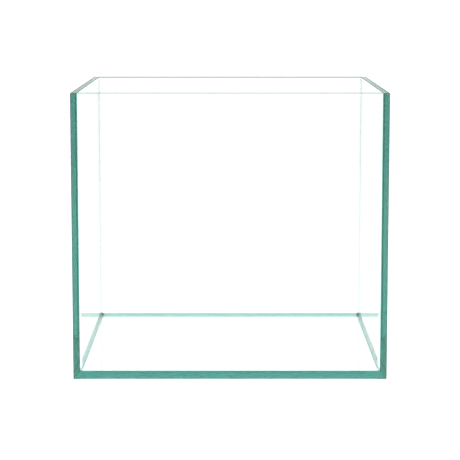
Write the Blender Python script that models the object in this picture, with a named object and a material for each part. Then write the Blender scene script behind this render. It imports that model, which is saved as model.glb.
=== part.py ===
"""A rimless glass aquarium tank: five mitred panes, the silicone layer in each joint, and the inner seal.

Metres, +Z up. The origin is the middle of the underside, and the front faces -Y.
"""

import math

import bmesh
import bpy
from mathutils import Vector

# Outside size of the tank, and the thickness of its glass.
WIDTH = 0.400
DEPTH = 0.400
HEIGHT = 0.365
WALL = 0.008
BASE = 0.010

# Polished bevel along every edge of a pane.
ARRIS = 0.0007
ARRIS_STEPS = 2

# Silicone: the layer in a mitred joint, how far it stops short of the outer corner and of the rim,
# and the radius left free where three layers meet.
BOND = 0.0008
BOND_SETBACK = 0.0009
BOND_BELOW_RIM = 0.0008
BOND_CORNER = 0.0012

# Inner seal: length of each leg on the glass, depth of its tooled hollow, and its distance below the rim.
SEAL_LEG = 0.0032
SEAL_HOLLOW = 0.0005
SEAL_STEPS = 6
SEAL_BELOW_RIM = 0.0030

# Clearance kept between neighbouring pieces.
GAP = 0.0003

# Colours as linear RGB.
GLASS_COLOR = (0.62, 0.84, 0.79)
BOND_COLOR = (0.78, 0.88, 0.86)
SEAL_COLOR = (0.86, 0.93, 0.92)

X = Vector((1.0, 0.0, 0.0))
Y = Vector((0.0, 1.0, 0.0))
Z = Vector((0.0, 0.0, 1.0))
HALF = {"left": WIDTH / 2, "right": WIDTH / 2, "front": DEPTH / 2, "back": DEPTH / 2}
OUTWARD = {"left": -X, "right": X, "front": -Y, "back": Y, "base": -Z}
CORNERS = (("front", "left"), ("front", "right"), ("back", "left"), ("back", "right"))
SIDES = ("front", "back", "left", "right")


def clear_scene():
    for obj in list(bpy.data.objects):
        bpy.data.objects.remove(obj)


def glassy(name, color, roughness, transmission, ior):
    """A see-through Principled material."""
    material = bpy.data.materials.new(name)
    material.use_nodes = True
    shader = material.node_tree.nodes["Principled BSDF"]
    shader.inputs["Base Color"].default_value = (*color, 1.0)
    shader.inputs["Metallic"].default_value = 0.0
    shader.inputs["Roughness"].default_value = roughness
    shader.inputs["IOR"].default_value = ior
    shader.inputs["Transmission Weight"].default_value = transmission
    material.diffuse_color = (*color, 1.0)
    return material


def box_mesh(low, high):
    """A closed box between two corners."""
    mesh = bmesh.new()
    bmesh.ops.create_cube(mesh, size=1.0)
    for vertex in mesh.verts:
        vertex.co = Vector(
            (high[axis] if vertex.co[axis] > 0 else low[axis]) for axis in range(3)
        )
    return mesh


def cut(mesh, point, normal):
    """Removes what lies beyond a plane, on the side its normal points to, and closes the cut."""
    everything = mesh.verts[:] + mesh.edges[:] + mesh.faces[:]
    result = bmesh.ops.bisect_plane(
        mesh, geom=everything, dist=1e-7, plane_co=point, plane_no=normal, clear_outer=True
    )
    rim = [item for item in result["geom_cut"] if isinstance(item, bmesh.types.BMEdge)]
    bmesh.ops.edgeloop_fill(mesh, edges=rim)


def add_piece(name, mesh, material):
    """Makes an object of a finished bmesh, with its faces pointing out."""
    bmesh.ops.dissolve_degenerate(mesh, dist=1e-7, edges=mesh.edges[:])
    bmesh.ops.recalc_face_normals(mesh, faces=mesh.faces[:])
    data = bpy.data.meshes.new(name)
    mesh.to_mesh(data)
    mesh.free()
    data.materials.append(material)
    obj = bpy.data.objects.new(name, data)
    bpy.context.scene.collection.objects.link(obj)
    return obj


def outer_point(side):
    """A point on the outside of a pane."""
    if side == "base":
        return Vector((0.0, 0.0, 0.0))
    return OUTWARD[side] * HALF[side]


def thickness(side):
    return BASE if side == "base" else WALL


def mitre(side, neighbour):
    """A point on the mitre plane between two panes, and its normal, which points at the neighbour.

    The plane holds the tank's outer corner line and the inner one."""
    across = OUTWARD[neighbour]
    outer = outer_point(side).project(OUTWARD[side]) + outer_point(neighbour).project(across)
    along_plane = OUTWARD[side] * thickness(side) + across * thickness(neighbour)
    edge = OUTWARD[side].cross(across)
    normal = along_plane.cross(edge).normalized()
    if normal.dot(across) < 0:
        normal.negate()
    return outer, normal


def neighbours(side):
    if side == "base":
        return SIDES
    if side in ("front", "back"):
        return ("left", "right", "base")
    return ("front", "back", "base")


def whole_box():
    low = Vector((-WIDTH / 2, -DEPTH / 2, 0.0))
    high = Vector((WIDTH / 2, DEPTH / 2, HEIGHT))
    return low, high


def make_pane(side, material):
    """One sheet of glass, mitred where it meets its neighbours, with an arris on every edge."""
    low, high = whole_box()
    mesh = box_mesh(low, high)
    inner = outer_point(side) - OUTWARD[side] * thickness(side)
    cut(mesh, inner, -OUTWARD[side])
    for neighbour in neighbours(side):
        point, normal = mitre(side, neighbour)
        cut(mesh, point - normal * (BOND / 2 + GAP), normal)
    bmesh.ops.bevel(
        mesh,
        geom=mesh.edges[:],
        offset=ARRIS,
        segments=ARRIS_STEPS,
        profile=0.5,
        affect="EDGES",
        clamp_overlap=True,
    )
    return add_piece(f"{side}_pane", mesh, material)


def inner_corner(side, neighbour):
    """A point on the line where the inner faces of two panes would meet."""
    point = outer_point(side).project(OUTWARD[side]) + outer_point(neighbour).project(OUTWARD[neighbour])
    return point - OUTWARD[side] * thickness(side) - OUTWARD[neighbour] * thickness(neighbour)


def corner_line(side, neighbour, third):
    """The direction from the inner to the outer corner point where three panes meet, and the outer point."""
    names = (side, neighbour, third)
    outer = sum((outer_point(name).project(OUTWARD[name]) for name in names), Vector())
    direction = sum((OUTWARD[name] * thickness(name) for name in names), Vector())
    return outer, direction.normalized()


def make_bond(side, neighbour, thirds, material):
    """The silicone layer in the mitre between two panes. thirds are the panes that it runs up to."""
    low, high = whole_box()
    mesh = box_mesh(low, high)
    outer, normal = mitre(side, neighbour)
    cut(mesh, outer + normal * BOND / 2, normal)
    cut(mesh, outer - normal * BOND / 2, -normal)
    edge = OUTWARD[side].cross(OUTWARD[neighbour]).normalized()
    outward = edge.cross(normal).normalized()
    if outward.dot(OUTWARD[side]) < 0:
        outward.negate()
    cut(mesh, outer - outward * BOND_SETBACK, outward)
    cut(mesh, inner_corner(side, neighbour), -outward)
    for third in thirds:
        meeting, line = corner_line(side, neighbour, third)
        beyond = normal.cross(line).normalized()
        if beyond.dot(OUTWARD[third]) < 0:
            beyond.negate()
        cut(mesh, meeting - beyond * BOND_CORNER, beyond)
    cut(mesh, Z * (HEIGHT - BOND_BELOW_RIM), Z)
    return add_piece(f"bond_{side}_{neighbour}", mesh, material)


def seal_profile():
    """Points of a fillet's section from one leg's end to the other, as distances from the two panes.

    The middle is hollowed, as a finger or a tool leaves it."""
    first = Vector((SEAL_LEG, 0.0))
    last = Vector((0.0, SEAL_LEG))
    towards_corner = Vector((-1.0, -1.0)).normalized()
    points = []
    for step in range(SEAL_STEPS + 1):
        share = step / SEAL_STEPS
        hollow = SEAL_HOLLOW * math.sin(math.pi * share)
        points.append(first.lerp(last, share) + towards_corner * hollow)
    return points


def make_seal(side, neighbour, thirds, material):
    """The fillet along an inner corner, mitred where it meets the other fillets at thirds."""
    corner = inner_corner(side, neighbour)
    along = OUTWARD[side].cross(OUTWARD[neighbour]).normalized()
    inward_side = -OUTWARD[side]
    inward_neighbour = -OUTWARD[neighbour]
    start = corner + (inward_side + inward_neighbour) * GAP
    reach = WIDTH + DEPTH + HEIGHT
    section = [Vector((0.0, 0.0))] + seal_profile()
    mesh = bmesh.new()
    ring = []
    for point in section:
        place = start + inward_neighbour * point.x + inward_side * point.y - along * reach
        ring.append(mesh.verts.new(place))
    cap = mesh.faces.new(ring)
    swept = bmesh.ops.extrude_face_region(mesh, geom=[cap])
    moved = [item for item in swept["geom"] if isinstance(item, bmesh.types.BMVert)]
    bmesh.ops.translate(mesh, verts=moved, vec=along * reach * 2)
    bmesh.ops.recalc_face_normals(mesh, faces=mesh.faces[:])
    for third in thirds:
        meeting = inner_corner(side, neighbour) + (
            outer_point(third).project(OUTWARD[third]) - OUTWARD[third] * thickness(third)
        )
        for other in (side, neighbour):
            normal = (OUTWARD[third] - OUTWARD[other]).normalized()
            cut(mesh, meeting - normal * GAP / 2, normal)
    cut(mesh, Z * (HEIGHT - SEAL_BELOW_RIM), Z)
    return add_piece(f"seal_{side}_{neighbour}", mesh, material)


def joints():
    """Every joint as the two panes it is between and the panes at its ends."""
    found = [(side, neighbour, ("base",)) for side, neighbour in CORNERS]
    for side in SIDES:
        ends = ("left", "right") if side in ("front", "back") else ("front", "back")
        found.append(("base", side, ends))
    return found


def build():
    clear_scene()
    glass = glassy("polished_glass", GLASS_COLOR, 0.02, 1.0, 1.52)
    bond = glassy("structural_silicone", BOND_COLOR, 0.25, 0.9, 1.41)
    seal = glassy("clear_silicone", SEAL_COLOR, 0.30, 0.9, 1.41)
    for side in (*SIDES, "base"):
        make_pane(side, glass)
    for side, neighbour, thirds in joints():
        make_bond(side, neighbour, thirds, bond)
        make_seal(side, neighbour, thirds, seal)


build()
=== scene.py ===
import math

import bmesh
import bpy
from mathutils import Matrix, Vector, noise


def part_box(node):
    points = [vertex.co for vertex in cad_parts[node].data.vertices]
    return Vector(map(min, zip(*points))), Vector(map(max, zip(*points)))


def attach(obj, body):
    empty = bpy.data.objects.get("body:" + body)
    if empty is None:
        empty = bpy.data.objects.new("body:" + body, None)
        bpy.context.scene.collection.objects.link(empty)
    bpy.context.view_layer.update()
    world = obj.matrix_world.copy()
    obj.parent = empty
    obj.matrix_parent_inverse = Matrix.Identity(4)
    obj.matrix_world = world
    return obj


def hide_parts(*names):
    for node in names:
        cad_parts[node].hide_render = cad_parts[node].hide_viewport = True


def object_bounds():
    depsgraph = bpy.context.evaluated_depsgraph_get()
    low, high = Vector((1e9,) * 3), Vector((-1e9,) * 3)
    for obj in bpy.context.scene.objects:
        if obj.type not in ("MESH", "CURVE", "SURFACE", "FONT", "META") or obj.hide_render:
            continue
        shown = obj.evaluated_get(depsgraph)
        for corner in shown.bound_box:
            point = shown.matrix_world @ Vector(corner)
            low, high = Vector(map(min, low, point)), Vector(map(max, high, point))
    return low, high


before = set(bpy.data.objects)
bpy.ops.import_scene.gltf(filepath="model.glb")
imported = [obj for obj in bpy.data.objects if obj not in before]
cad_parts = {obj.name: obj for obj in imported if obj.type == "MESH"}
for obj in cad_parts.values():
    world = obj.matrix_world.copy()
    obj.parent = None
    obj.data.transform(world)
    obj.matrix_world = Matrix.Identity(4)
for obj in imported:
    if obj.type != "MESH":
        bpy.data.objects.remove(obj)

# A rimless glass tank: five mitred panes, a silicone bond in each mitre, and a silicone seal along
# each inner corner. Lengths are in metres, angles in degrees, and places come from the CAD's boxes.
CAD_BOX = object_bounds()
LOW, HIGH = (Vector(corner) for corner in CAD_BOX)

X = Vector((1.0, 0.0, 0.0))
Y = Vector((0.0, 1.0, 0.0))
Z = Vector((0.0, 0.0, 1.0))
SIDES = ("front", "back", "left", "right")
CORNERS = (("front", "left"), ("front", "right"), ("back", "left"), ("back", "right"))
OUTWARD = {"front": -Y, "back": Y, "left": -X, "right": X, "base": -Z}

# Kinds of surface, five on glass and three on silicone. Each face holds its kind in the attribute
# "finish", and the ramps in the materials give each kind its own values.
FINISH_STEP = 0.2
FLOAT, MITRE, LAND, RIM, ARRIS = (FINISH_STEP * kind for kind in range(5))
# The second silicone kind is a patch of painted shade at a rear corner.
BODY, CORNER_SHADE, LIP = (FINISH_STEP * kind for kind in range(3))

# Glass edges. An arris is a narrow flat ground along an edge, and each pair is the setback of the
# outer and of the inner one.
JOINT = 0.00025  # from one mitred face to the other
FRONT_RIM = (0.0004, 0.0004)
BACK_RIM = (0.0004, 0.0009)
END_RIM = (0.0006, 0.0005)
RIM_ARRISES = {"front": FRONT_RIM, "back": BACK_RIM, "left": END_RIM, "right": END_RIM}
FRONT_ARRISES = (0.0006, 0.00015)
REAR_ARRISES = (0.0001, 0.00006)
BASE_ARRISES = (0.0002, 0.00015)
MITRE_RIM = 0.00015  # setback at the short ends of the rim
RIM_STRIPE = 0.0022  # width of the outer part of a side pane's rim, painted darker as painted shade
SOFTENING = 0.22  # setback of an arris's own two edges, as a share of its setback

# Bonds.
BOND_CLEARANCE = 0.00003  # between the layer and each mitred face
BOND_SETBACK = 0.0009  # from the tank's outer corner
BOND_BELOW_RIM = 0.0009
BOND_CORNER = 0.0009  # from the line where the three layers at a corner meet

# Seals.
SEAL_LIP = 0.00022  # thickness where the fillet thins out on the glass
SEAL_HOLLOW = 0.20  # depth of the tooled hollow, as a share of the leg
SEAL_ARC_STEPS = 8
FIRST_LIP_STRIPS = 4  # strips of the section that count as a lip, at its first and last end
LAST_LIP_STRIPS = 2
SEAL_PITCH = 0.006  # between two sections
SEAL_GAP = 0.00005  # between the seal and the glass
SEAL_CORNER_SHADE = 0.0036  # length of the patch of painted shade at each rear corner of the floor
SEAL_SMOOTH_ANGLE = 35.0  # a sharper edge than this isn't shaded smooth

# A seal's leg is a little uneven along its run, and shrinks to a blunt nose at a free top end.
SEAL_WOBBLE = 0.05
WAVE_RATE = 22.0
RIPPLE_RATE = 90.0
RIPPLE_SHARE = 0.4
LEG_SHORTFALL = 0.8  # keeps the longest leg inside the CAD's fillet
SEED_STEP = 3.7  # sets the runs apart in the noise
SEAL_NOSE = 0.004
NOSE_TIP = 0.12  # square of the leg's share that is left at the very tip

# Two limits below which points count as one, and how far up a level face's normal points.
ON_PLANE = 1e-8
SAME_POINT = 1e-7
LEVEL = 0.99

# Glass. A loss is the absorption per metre in red, green and blue. A haze is a roughness, "clear"
# is how much of the light goes through, and "inside" is the tint of a face met from within.
WHITE = (1.0, 1.0, 1.0)
BLACK = (0.0, 0.0, 0.0)
GLASS_IOR = 1.52
WALL_LOSS = (7.3, 3.45, 4.0)
BASE_LOSS = (7.1, 3.05, 3.4)
LAND_TINT = (0.45, 0.70, 0.62)
LAND_HAZE = 0.45
LAND_CLEAR = 0.8
# Painted shade: the rim's and the arrises' dark tints, met from outside or from within, draw dark lines
# along the glass's edges.
RIM_SHADE_TINT = (0.06, 0.08, 0.075)
RIM_HAZE = 0.7
RIM_CLEAR = 0.5
RIM_INSIDE_SHADE = (0.10, 0.25, 0.20)
ARRIS_SHADE_TINT = (0.01, 0.16, 0.11)
ARRIS_HAZE = 0.9
ARRIS_CLEAR = 0.3
ARRIS_INSIDE_SHADE = (0.0, 0.38, 0.26)
MITRE_INSIDE = (0.96, 0.99, 0.98)

# Silicone. The bond's tint is also that of the mitred faces it sticks to.
SILICONE_IOR = 1.41
BOND_TINT = (0.88, 0.96, 0.94)
SEAL_TINT = (0.97, 0.99, 0.985)
FLOOR_SEAL_TINT = (0.30, 0.64, 0.56)
FLOOR_LIP_TINT = (0.10, 0.22, 0.19)
# Painted shade: the dark tint at the rear corners of the floor's seals.
CORNER_SHADE_TINT = (0.01, 0.16, 0.115)

# Noise that mottles ground glass and clouds silicone: its scale, how much it takes away, and the
# part of its range that is stretched to the whole.
GRIND_SCALE = 700.0
GRIND_DEPTH = 0.16
CLOUD_SCALE = 260.0
CLOUD_DEPTH = 0.04
NOISE_DETAIL = 4.0
NOISE_LOW = 0.3
NOISE_HIGH = 0.7

# Sockets of the Mix node for colours, which share their names with those for other kinds of data.
MIX_SHARE, MIX_FIRST, MIX_SECOND, MIX_RESULT = 0, 6, 7, 2

# Camera: its place, on the tank's middle line, and its lens.
CAMERA_Y = -2.404
CAMERA_Z = 0.498
TILT = 7.897  # downward
LENS = 138.0  # in millimetres, as is the sensor's width
SENSOR = 36.0

# Studio. The light's strength changes with direction: each row is an axis, the two values on it
# where the change starts and ends, and the change.
LIGHT = 1.20
LIGHT_CHANGES = (("Z", 0.3, 0.9, 0.35), ("Y", -0.3, -0.95, -0.12))
FLOOR_REACH = 2.6  # half the floor's side
FLOOR_DROP = 0.0003  # keeps the floor off the tank's underside
FLOOR_FADE = 0.5  # distance at which the floor starts to turn greyer, the edge of a painted pool of light
FLOOR_NEAR = 0.95
FLOOR_FAR = 0.86

# Light has to cross many glass surfaces along a pane before it shows at an edge.
GLASS_BOUNCES = 96
TRANSPARENT_BOUNCES = 32
DIFFUSE_BOUNCES = 3


def pane_thickness(side):
    low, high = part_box(f"{side}_pane")
    return abs((high - low).dot(OUTWARD[side]))


THICKNESS = {side: pane_thickness(side) for side in OUTWARD}
FLOOR_RUN_LOW, FLOOR_RUN_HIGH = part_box("seal_base_front")
SEAL_LEG = FLOOR_RUN_HIGH.z - FLOOR_RUN_LOW.z
SEAL_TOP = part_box("seal_front_left")[1].z


def outer_point(side):
    """Where a pane's own axis leaves the tank's box."""
    axis = OUTWARD[side]
    return axis * max(LOW.dot(axis), HIGH.dot(axis))


def inner_point(side):
    """The same place on the pane's inner face."""
    return outer_point(side) - OUTWARD[side] * THICKNESS[side]


def neighbours(side):
    """The panes that a pane meets, the base last."""
    if side == "base":
        return SIDES
    if side in ("front", "back"):
        return ("left", "right", "base")
    return ("front", "back", "base")


def mitre_plane(side, neighbour):
    """The plane through the outer and inner corner lines of two panes, facing the neighbour."""
    away, across = OUTWARD[side], OUTWARD[neighbour]
    corner = outer_point(side) + outer_point(neighbour)
    slope = away * THICKNESS[side] + across * THICKNESS[neighbour]
    normal = slope.cross(away.cross(across)).normalized()
    if normal.dot(across) < 0:
        normal.negate()
    return corner, normal


def new_mesh():
    """An empty mesh whose faces have a finish."""
    mesh = bmesh.new()
    mesh.faces.layers.float.new("finish")
    return mesh


def whole_box():
    """A mesh of the tank's whole box, to be cut down to a pane or a bond."""
    mesh = new_mesh()
    bmesh.ops.create_cube(mesh, size=1.0)
    for vertex in mesh.verts:
        high = [part > 0 for part in vertex.co]
        vertex.co = [HIGH[axis] if high[axis] else LOW[axis] for axis in range(3)]
    return mesh


def cut(mesh, plane, finish=BODY):
    """Removes what lies beyond a plane, and closes the cut with a face of the given finish."""
    point, normal = plane
    everything = mesh.verts[:] + mesh.edges[:] + mesh.faces[:]
    result = bmesh.ops.bisect_plane(
        mesh, geom=everything, dist=ON_PLANE, plane_co=point, plane_no=normal, clear_outer=True
    )
    outline = [item for item in result["geom_cut"] if isinstance(item, bmesh.types.BMEdge)]
    if not outline:
        return
    layer = mesh.faces.layers.float["finish"]
    for face in bmesh.ops.edgeloop_fill(mesh, edges=outline)["faces"]:
        face[layer] = finish


def is_level(face):
    return face.normal.z > LEVEL


def is_any(face):
    return True


def refinish(mesh, plane, finish, chosen):
    """Splits the chosen faces along a plane and gives those beyond it a finish of their own."""
    point, normal = plane
    layer = mesh.faces.layers.float["finish"]
    faces = [face for face in mesh.faces if chosen(face)]
    parts = faces + list({edge for face in faces for edge in face.edges})
    parts += list({vertex for face in faces for vertex in face.verts})
    bmesh.ops.bisect_plane(mesh, geom=parts, dist=ON_PLANE, plane_co=point, plane_no=normal)
    for face in mesh.faces:
        if chosen(face) and (face.calc_center_median() - point).dot(normal) > 0:
            face[layer] = finish


def chamfer(mesh, first, second, setback, finish):
    """Cuts a flat between two faces of a convex solid, given by their planes, and returns its plane."""
    (point_a, normal_a), (point_b, normal_b) = first, second
    shared = normal_a.dot(normal_b)
    depth_a, depth_b = normal_a.dot(point_a), normal_b.dot(point_b)
    along_a = (depth_a - shared * depth_b) * normal_a
    along_b = (depth_b - shared * depth_a) * normal_b
    edge = (along_a + along_b) / (1 - shared**2)
    inward = -(normal_b - shared * normal_a).normalized()
    plane = (edge + inward * setback, (normal_a + normal_b).normalized())
    cut(mesh, plane, finish)
    return plane


def arris(mesh, first, second, setback, finish):
    """A ground arris: one flat between two faces, with its own two edges softened."""
    flat = chamfer(mesh, first, second, setback, finish)
    for face in (first, second):
        chamfer(mesh, flat, face, setback * SOFTENING, finish)


def add_piece(name, mesh, material, smooth=False):
    """Makes a shown piece of a finished mesh, in place of the CAD node of the same name."""
    bmesh.ops.dissolve_degenerate(mesh, dist=SAME_POINT, edges=mesh.edges[:])
    bmesh.ops.recalc_face_normals(mesh, faces=mesh.faces[:])
    for face in mesh.faces:
        face.smooth = smooth
    data = bpy.data.meshes.new(name)
    mesh.to_mesh(data)
    mesh.free()
    data.materials.append(material)
    kind = "glass" if name.endswith("pane") else "silicone"
    piece = bpy.data.objects.new(f"{name}_{kind}", data)
    bpy.context.scene.collection.objects.link(piece)
    # The floor's diffuse light passes the tank by, because the photograph shows no shadow.
    piece.visible_diffuse = False
    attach(piece, "root")
    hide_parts(name)
    return piece


def make_rim(mesh, side, outer, inner, mitres):
    """The flat top of a wall, with an arris on each edge and, on a side pane, a stripe of painted shade
    along the outer edge.
    """
    rim = (Z * HIGH.z, Z)
    layer = mesh.faces.layers.float["finish"]
    mesh.normal_update()
    for face in mesh.faces:
        if is_level(face):
            face[layer] = LAND
    outer_setback, inner_setback = RIM_ARRISES[side]
    arris(mesh, outer, rim, outer_setback, RIM)
    arris(mesh, inner, rim, inner_setback, RIM)
    for neighbour in neighbours(side)[:2]:
        arris(mesh, mitres[neighbour], rim, MITRE_RIM, RIM)
    # On a side pane, the rim's outer stripe takes the rim arrises' painted shade.
    if side in ("left", "right"):
        point, normal = outer
        mesh.normal_update()
        refinish(mesh, (point - normal * RIM_STRIPE, normal), RIM, is_level)


def meeting_mitres(side):
    """Pairs of a pane's mitres that share an edge."""
    if side == "base":
        return CORNERS
    return [(neighbour, "base") for neighbour in neighbours(side)[:2]]


def mitre_arrises(side, neighbour):
    """The setbacks of the arrises along a mitre, and their finish: those at the base are polished."""
    if "base" in (side, neighbour):
        return BASE_ARRISES, MITRE
    if "back" in (side, neighbour):
        return REAR_ARRISES, ARRIS
    return FRONT_ARRISES, ARRIS


def make_pane(side, material):
    """A sheet of float glass with mitred joints, ground arrises and, on a wall, a flat rim."""
    mesh = whole_box()
    away = OUTWARD[side]
    outer = (outer_point(side), away)
    inner = (inner_point(side), -away)
    cut(mesh, inner, FLOAT)
    mitres = {}
    for neighbour in neighbours(side):
        point, normal = mitre_plane(side, neighbour)
        mitres[neighbour] = (point - normal * (JOINT / 2), normal)
        cut(mesh, mitres[neighbour], MITRE)
    if side != "base":
        make_rim(mesh, side, outer, inner, mitres)
    for neighbour, plane in mitres.items():
        (outer_setback, inner_setback), finish = mitre_arrises(side, neighbour)
        arris(mesh, outer, plane, outer_setback, finish)
        arris(mesh, inner, plane, inner_setback, finish)
    for first, second in meeting_mitres(side):
        chamfer(mesh, mitres[first], mitres[second], BASE_ARRISES[1], MITRE)
    add_piece(f"{side}_pane", mesh, material)


def make_bond(side, neighbour, thirds, material):
    """The silicone layer that fills a mitre, trimmed where it meets the layers of a third pane."""
    mesh = whole_box()
    corner, normal = mitre_plane(side, neighbour)
    half = JOINT / 2 - BOND_CLEARANCE
    cut(mesh, (corner + normal * half, normal))
    cut(mesh, (corner - normal * half, -normal))
    outward = OUTWARD[side].cross(OUTWARD[neighbour]).normalized().cross(normal)
    if outward.dot(OUTWARD[side]) < 0:
        outward.negate()
    cut(mesh, (corner - outward * BOND_SETBACK, outward))
    cut(mesh, (inner_point(side) + inner_point(neighbour), -outward))
    for third in thirds:
        meeting = corner + outer_point(third)
        line = (
            OUTWARD[side] * THICKNESS[side]
            + OUTWARD[neighbour] * THICKNESS[neighbour]
            + OUTWARD[third] * THICKNESS[third]
        )
        beyond = normal.cross(line).normalized()
        if beyond.dot(OUTWARD[third]) < 0:
            beyond.negate()
        cut(mesh, (meeting - beyond * BOND_CORNER, beyond))
    cut(mesh, (Z * (HIGH.z - BOND_BELOW_RIM), Z))
    add_piece(f"bond_{side}_{neighbour}", mesh, material)


def seal_section(leg):
    """A tooled fillet's section, as distances from the two panes: two legs, two lips and a hollow arc."""
    first = Vector((leg, SEAL_LIP))
    last = Vector((SEAL_LIP, leg))
    towards_corner = Vector((-1.0, -1.0)).normalized()
    points = [Vector((0.0, 0.0)), Vector((leg, 0.0))]
    for step in range(SEAL_ARC_STEPS + 1):
        share = step / SEAL_ARC_STEPS
        sag = leg * SEAL_HOLLOW * math.sin(math.pi * share)
        points.append(first.lerp(last, share) + towards_corner * sag)
    points.append(Vector((0.0, leg)))
    return points


def seal_leg_at(place, seed):
    """The leg's length at a place: the hand-tooled run is never quite even."""
    wave = noise.noise(place * WAVE_RATE + Vector((seed, 0.0, 0.0)))
    ripple = noise.noise(place * RIPPLE_RATE + Vector((0.0, seed, 0.0)))
    return SEAL_LEG * (1.0 + SEAL_WOBBLE * (wave + RIPPLE_SHARE * ripple - LEG_SHORTFALL))


def nose_share(left):
    """How much of the leg remains where this much of the run is left."""
    into_nose = max(0.0, 1.0 - left / SEAL_NOSE)
    return math.sqrt(max(NOSE_TIP, 1.0 - into_nose**2))


def seal_rings(mesh, side, neighbour, upright, seed):
    """The seal's sections as rings of points, from its low end to its high end."""
    along = OUTWARD[side].cross(OUTWARD[neighbour]).normalized()
    if along.dot(X + Y + Z) < 0:
        along.negate()
    start = inner_point(side) + inner_point(neighbour)
    start -= (OUTWARD[side] + OUTWARD[neighbour]) * SEAL_GAP
    low_end = LOW.dot(along)
    high_end = SEAL_TOP if upright else HIGH.dot(along)
    count = round((high_end - low_end) / SEAL_PITCH)
    rings = []
    for step in range(count + 1):
        station = low_end + (high_end - low_end) * step / count
        middle = start + along * (station - start.dot(along))
        leg = seal_leg_at(middle, seed)
        if upright:
            leg *= nose_share(max(0.0, high_end - station))
        ring = [
            mesh.verts.new(middle - OUTWARD[neighbour] * point.x - OUTWARD[side] * point.y)
            for point in seal_section(leg)
        ]
        rings.append(ring)
    return rings


def skin(mesh, rings):
    """Covers the rings and closes both ends. The strips at the lips get their own finish."""
    layer = mesh.faces.layers.float["finish"]
    count = len(rings[0])
    last_strips = range(count - 1 - LAST_LIP_STRIPS, count - 1)
    lips = (*range(1, 1 + FIRST_LIP_STRIPS), *last_strips)
    for before, after in zip(rings, rings[1:]):
        for index in range(count):
            follow = (index + 1) % count
            face = mesh.faces.new((before[index], before[follow], after[follow], after[index]))
            face[layer] = LIP if index in lips else BODY
    mesh.faces.new(rings[0])
    mesh.faces.new(rings[-1])
    bmesh.ops.recalc_face_normals(mesh, faces=mesh.faces[:])


def make_seal(side, neighbour, thirds, material, seed):
    """The fillet along an inner corner, mitred where it meets the seals of a third pane."""
    mesh = new_mesh()
    skin(mesh, seal_rings(mesh, side, neighbour, upright="base" in thirds, seed=seed))
    for third in thirds:
        meeting = inner_point(side) + inner_point(neighbour) + inner_point(third)
        away = OUTWARD[third]
        for other in (side, neighbour):
            normal = (away - OUTWARD[other]).normalized()
            cut(mesh, (meeting - normal * SEAL_GAP, normal))
        # Painted shade: a darker patch where the seals meet at a rear corner.
        if "back" in (side, neighbour, third):
            refinish(mesh, (meeting - away * SEAL_CORNER_SHADE, away), CORNER_SHADE, is_any)
    name = f"seal_{side}_{neighbour}"
    piece = add_piece(name, mesh, material, smooth=True)
    piece.data.set_sharp_from_angle(angle=math.radians(SEAL_SMOOTH_ANGLE))


def number(tree, operation, *values):
    """A Math node; each value is a number or a socket."""
    node = tree.nodes.new("ShaderNodeMath")
    node.operation = operation
    for socket, value in zip(node.inputs, values):
        if isinstance(value, (int, float)):
            socket.default_value = value
        else:
            tree.links.new(value, socket)
    return node.outputs["Value"]


def mapped(tree, value, start, end, low, high, curve="LINEAR"):
    """A number that goes from low to high as the value goes from start to end, and no further."""
    node = tree.nodes.new("ShaderNodeMapRange")
    node.interpolation_type = curve
    node.inputs["From Min"].default_value = start
    node.inputs["From Max"].default_value = end
    node.inputs["To Min"].default_value = low
    node.inputs["To Max"].default_value = high
    tree.links.new(value, node.inputs["Value"])
    return node.outputs["Result"]


def blend(tree, share, first, second):
    """Mixes two colours; each is a tuple or a socket."""
    node = tree.nodes.new("ShaderNodeMix")
    node.data_type = "RGBA"
    tree.links.new(share, node.inputs[MIX_SHARE])
    for index, value in ((MIX_FIRST, first), (MIX_SECOND, second)):
        if isinstance(value, tuple):
            node.inputs[index].default_value = (*value, 1.0)
        else:
            tree.links.new(value, node.inputs[index])
    return node.outputs[MIX_RESULT]


def scaled(tree, color, factor):
    """A colour socket times a number socket."""
    node = tree.nodes.new("ShaderNodeVectorMath")
    node.operation = "SCALE"
    tree.links.new(color, node.inputs["Vector"])
    tree.links.new(factor, node.inputs["Scale"])
    return node.outputs["Vector"]


def by_finish(tree, colors):
    """A stepped ramp that gives each kind of surface its own colour, in the kinds' order."""
    attribute = tree.nodes.new("ShaderNodeAttribute")
    attribute.attribute_name = "finish"
    node = tree.nodes.new("ShaderNodeValToRGB")
    node.color_ramp.interpolation = "CONSTANT"
    steps = node.color_ramp.elements
    steps.remove(steps[-1])
    steps[0].color = (*colors[0], 1.0)
    for kind, color in enumerate(colors[1:], start=1):
        steps.new(FINISH_STEP * (kind - 0.5)).color = (*color, 1.0)
    tree.links.new(attribute.outputs["Fac"], node.inputs["Fac"])
    return node.outputs["Color"]


def grey(*levels):
    return tuple((level, level, level) for level in levels)


def speckle(tree, scale, low, high):
    """A fine even noise between two levels, fixed to the object."""
    grain = tree.nodes.new("ShaderNodeTexNoise")
    grain.inputs["Scale"].default_value = scale
    grain.inputs["Detail"].default_value = NOISE_DETAIL
    place = tree.nodes.new("ShaderNodeTexCoord").outputs["Object"]
    tree.links.new(place, grain.inputs["Vector"])
    return mapped(tree, grain.outputs["Fac"], NOISE_LOW, NOISE_HIGH, low, high)


def add_body_color(tree, loss):
    """Absorption that takes the most light where the loss is strongest."""
    strongest = max(loss)
    kept = tuple(1.0 - value / strongest for value in loss)
    absorption = tree.nodes.new("ShaderNodeVolumeAbsorption")
    absorption.inputs["Color"].default_value = (*kept, 1.0)
    absorption.inputs["Density"].default_value = strongest
    tree.links.new(absorption.outputs["Volume"], tree.nodes["Material Output"].inputs["Volume"])


def new_material(name):
    material = bpy.data.materials.new(name)
    material.use_nodes = True
    tree = material.node_tree
    return material, tree, tree.nodes["Principled BSDF"]


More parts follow.
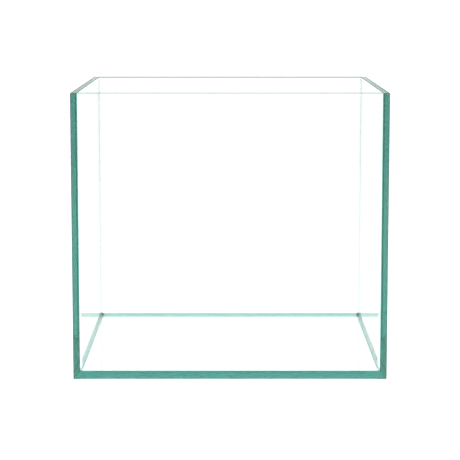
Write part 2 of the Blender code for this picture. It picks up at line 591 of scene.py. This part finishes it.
def glass_material(name, loss):
    """Green float glass. A ground face is hazy from outside; from inside only its tint is seen. The rim
    and arris faces carry painted shade: dark tints that draw dark lines along the edges.
    """
    material, tree, shader = new_material(name)
    shader.inputs["IOR"].default_value = GLASS_IOR
    within = tree.nodes.new("ShaderNodeNewGeometry").outputs["Backfacing"]
    # The rim and arris tints, outside and inside, are painted shade.
    outside_tint = by_finish(tree, (WHITE, BOND_TINT, LAND_TINT, RIM_SHADE_TINT, ARRIS_SHADE_TINT))
    inside_tint = by_finish(tree, (WHITE, MITRE_INSIDE, WHITE, RIM_INSIDE_SHADE, ARRIS_INSIDE_SHADE))
    grinding = speckle(tree, GRIND_SCALE, 0.0, GRIND_DEPTH)
    ground = by_finish(tree, grey(0.0, 0.0, 1.0, 1.0, 1.0))
    level = number(tree, "SUBTRACT", 1.0, number(tree, "MULTIPLY", ground, grinding))
    tint = blend(tree, within, scaled(tree, outside_tint, level), inside_tint)
    tree.links.new(tint, shader.inputs["Base Color"])
    haze = scaled(tree, by_finish(tree, grey(0.0, 0.0, LAND_HAZE, RIM_HAZE, ARRIS_HAZE)), level)
    tree.links.new(blend(tree, within, haze, BLACK), shader.inputs["Roughness"])
    clear = by_finish(tree, grey(1.0, 1.0, LAND_CLEAR, RIM_CLEAR, ARRIS_CLEAR))
    tree.links.new(blend(tree, within, clear, WHITE), shader.inputs["Transmission Weight"])
    add_body_color(tree, loss)
    return material


def silicone_material(name, body, corner_shade, lip):
    """Clear cured silicone, faintly clouded. A fillet's body and lips take the given tints, and each rear
    corner a darker tint of painted shade.
    """
    material, tree, shader = new_material(name)
    shader.inputs["Roughness"].default_value = 0.0
    shader.inputs["IOR"].default_value = SILICONE_IOR
    shader.inputs["Transmission Weight"].default_value = 1.0
    cloud = speckle(tree, CLOUD_SCALE, 1.0, 1.0 - CLOUD_DEPTH)
    tint = scaled(tree, by_finish(tree, (body, corner_shade, lip)), cloud)
    tree.links.new(tint, shader.inputs["Base Color"])
    return material


def floor_material():
    """Matt white with a painted pool of light: a little greyer away from the tank."""
    material, tree, shader = new_material("floor")
    shader.inputs["Roughness"].default_value = 1.0
    shader.inputs["Specular IOR Level"].default_value = 0.0
    away = tree.nodes.new("ShaderNodeVectorMath")
    away.operation = "LENGTH"
    place = tree.nodes.new("ShaderNodeNewGeometry").outputs["Position"]
    tree.links.new(place, away.inputs["Vector"])
    reach = away.outputs["Value"]
    # Painted pool of light: the floor is whiter near the tank.
    whiteness = mapped(tree, reach, FLOOR_FADE, FLOOR_REACH, FLOOR_NEAR, FLOOR_FAR)
    tree.links.new(whiteness, shader.inputs["Base Color"])
    return material


def make_tank():
    wall_glass = glass_material("wall_glass", WALL_LOSS)
    base_glass = glass_material("base_glass", BASE_LOSS)
    bond = silicone_material("bond_silicone", BOND_TINT, BOND_TINT, BOND_TINT)
    wall_seal = silicone_material("wall_seal_silicone", SEAL_TINT, CORNER_SHADE_TINT, SEAL_TINT)
    floor_seal = silicone_material("floor_seal_silicone", FLOOR_SEAL_TINT, CORNER_SHADE_TINT, FLOOR_LIP_TINT)
    for side in SIDES:
        make_pane(side, wall_glass)
    make_pane("base", base_glass)
    # A joint is two panes, the panes that cross its ends, and the material of its seal.
    joints = [(side, neighbour, ("base",), wall_seal) for side, neighbour in CORNERS]
    for side in SIDES:
        seal = wall_seal if side == "front" else floor_seal
        joints.append(("base", side, neighbours(side)[:2], seal))
    for index, (side, neighbour, thirds, seal) in enumerate(joints):
        make_bond(side, neighbour, thirds, bond)
        make_seal(side, neighbour, thirds, seal, index * SEED_STEP)


def make_camera():
    data = bpy.data.cameras.new("camera")
    data.lens = LENS
    data.sensor_width = SENSOR
    camera = bpy.data.objects.new("camera", data)
    camera.location = (0.0, CAMERA_Y, CAMERA_Z)
    camera.rotation_euler = (math.radians(90.0 - TILT), 0.0, 0.0)
    bpy.context.scene.collection.objects.link(camera)
    bpy.context.scene.camera = camera


def make_light():
    """White light from all round, stronger from above and weaker from the camera's side."""
    world = bpy.data.worlds.new("soft_studio")
    world.use_nodes = True
    tree = world.node_tree
    direction = tree.nodes.new("ShaderNodeSeparateXYZ")
    place = tree.nodes.new("ShaderNodeTexCoord").outputs["Generated"]
    tree.links.new(place, direction.inputs["Vector"])
    strength = LIGHT
    for axis, start, end, change in LIGHT_CHANGES:
        part = mapped(tree, direction.outputs[axis], start, end, 0.0, change, "SMOOTHSTEP")
        strength = number(tree, "ADD", strength, part)
    background = tree.nodes["Background"]
    background.inputs["Color"].default_value = (*WHITE, 1.0)
    tree.links.new(strength, background.inputs["Strength"])
    # The light isn't sampled as a lamp, because the photograph shows no shadow.
    world.cycles.sampling_method = "NONE"
    bpy.context.scene.world = world


def make_floor():
    mesh = bmesh.new()
    bmesh.ops.create_grid(mesh, x_segments=1, y_segments=1, size=FLOOR_REACH)
    data = bpy.data.meshes.new("floor")
    mesh.to_mesh(data)
    mesh.free()
    data.materials.append(floor_material())
    floor = bpy.data.objects.new("floor", data)
    floor.location = (0.0, 0.0, -FLOOR_DROP)
    bpy.context.scene.collection.objects.link(floor)


def set_view():
    scene = bpy.context.scene
    scene.view_settings.view_transform = "Standard"
    scene.cycles.max_bounces = GLASS_BOUNCES
    scene.cycles.glossy_bounces = GLASS_BOUNCES
    scene.cycles.transmission_bounces = GLASS_BOUNCES
    scene.cycles.transparent_max_bounces = TRANSPARENT_BOUNCES
    scene.cycles.diffuse_bounces = DIFFUSE_BOUNCES


make_camera()
make_tank()
make_light()
make_floor()
set_view()
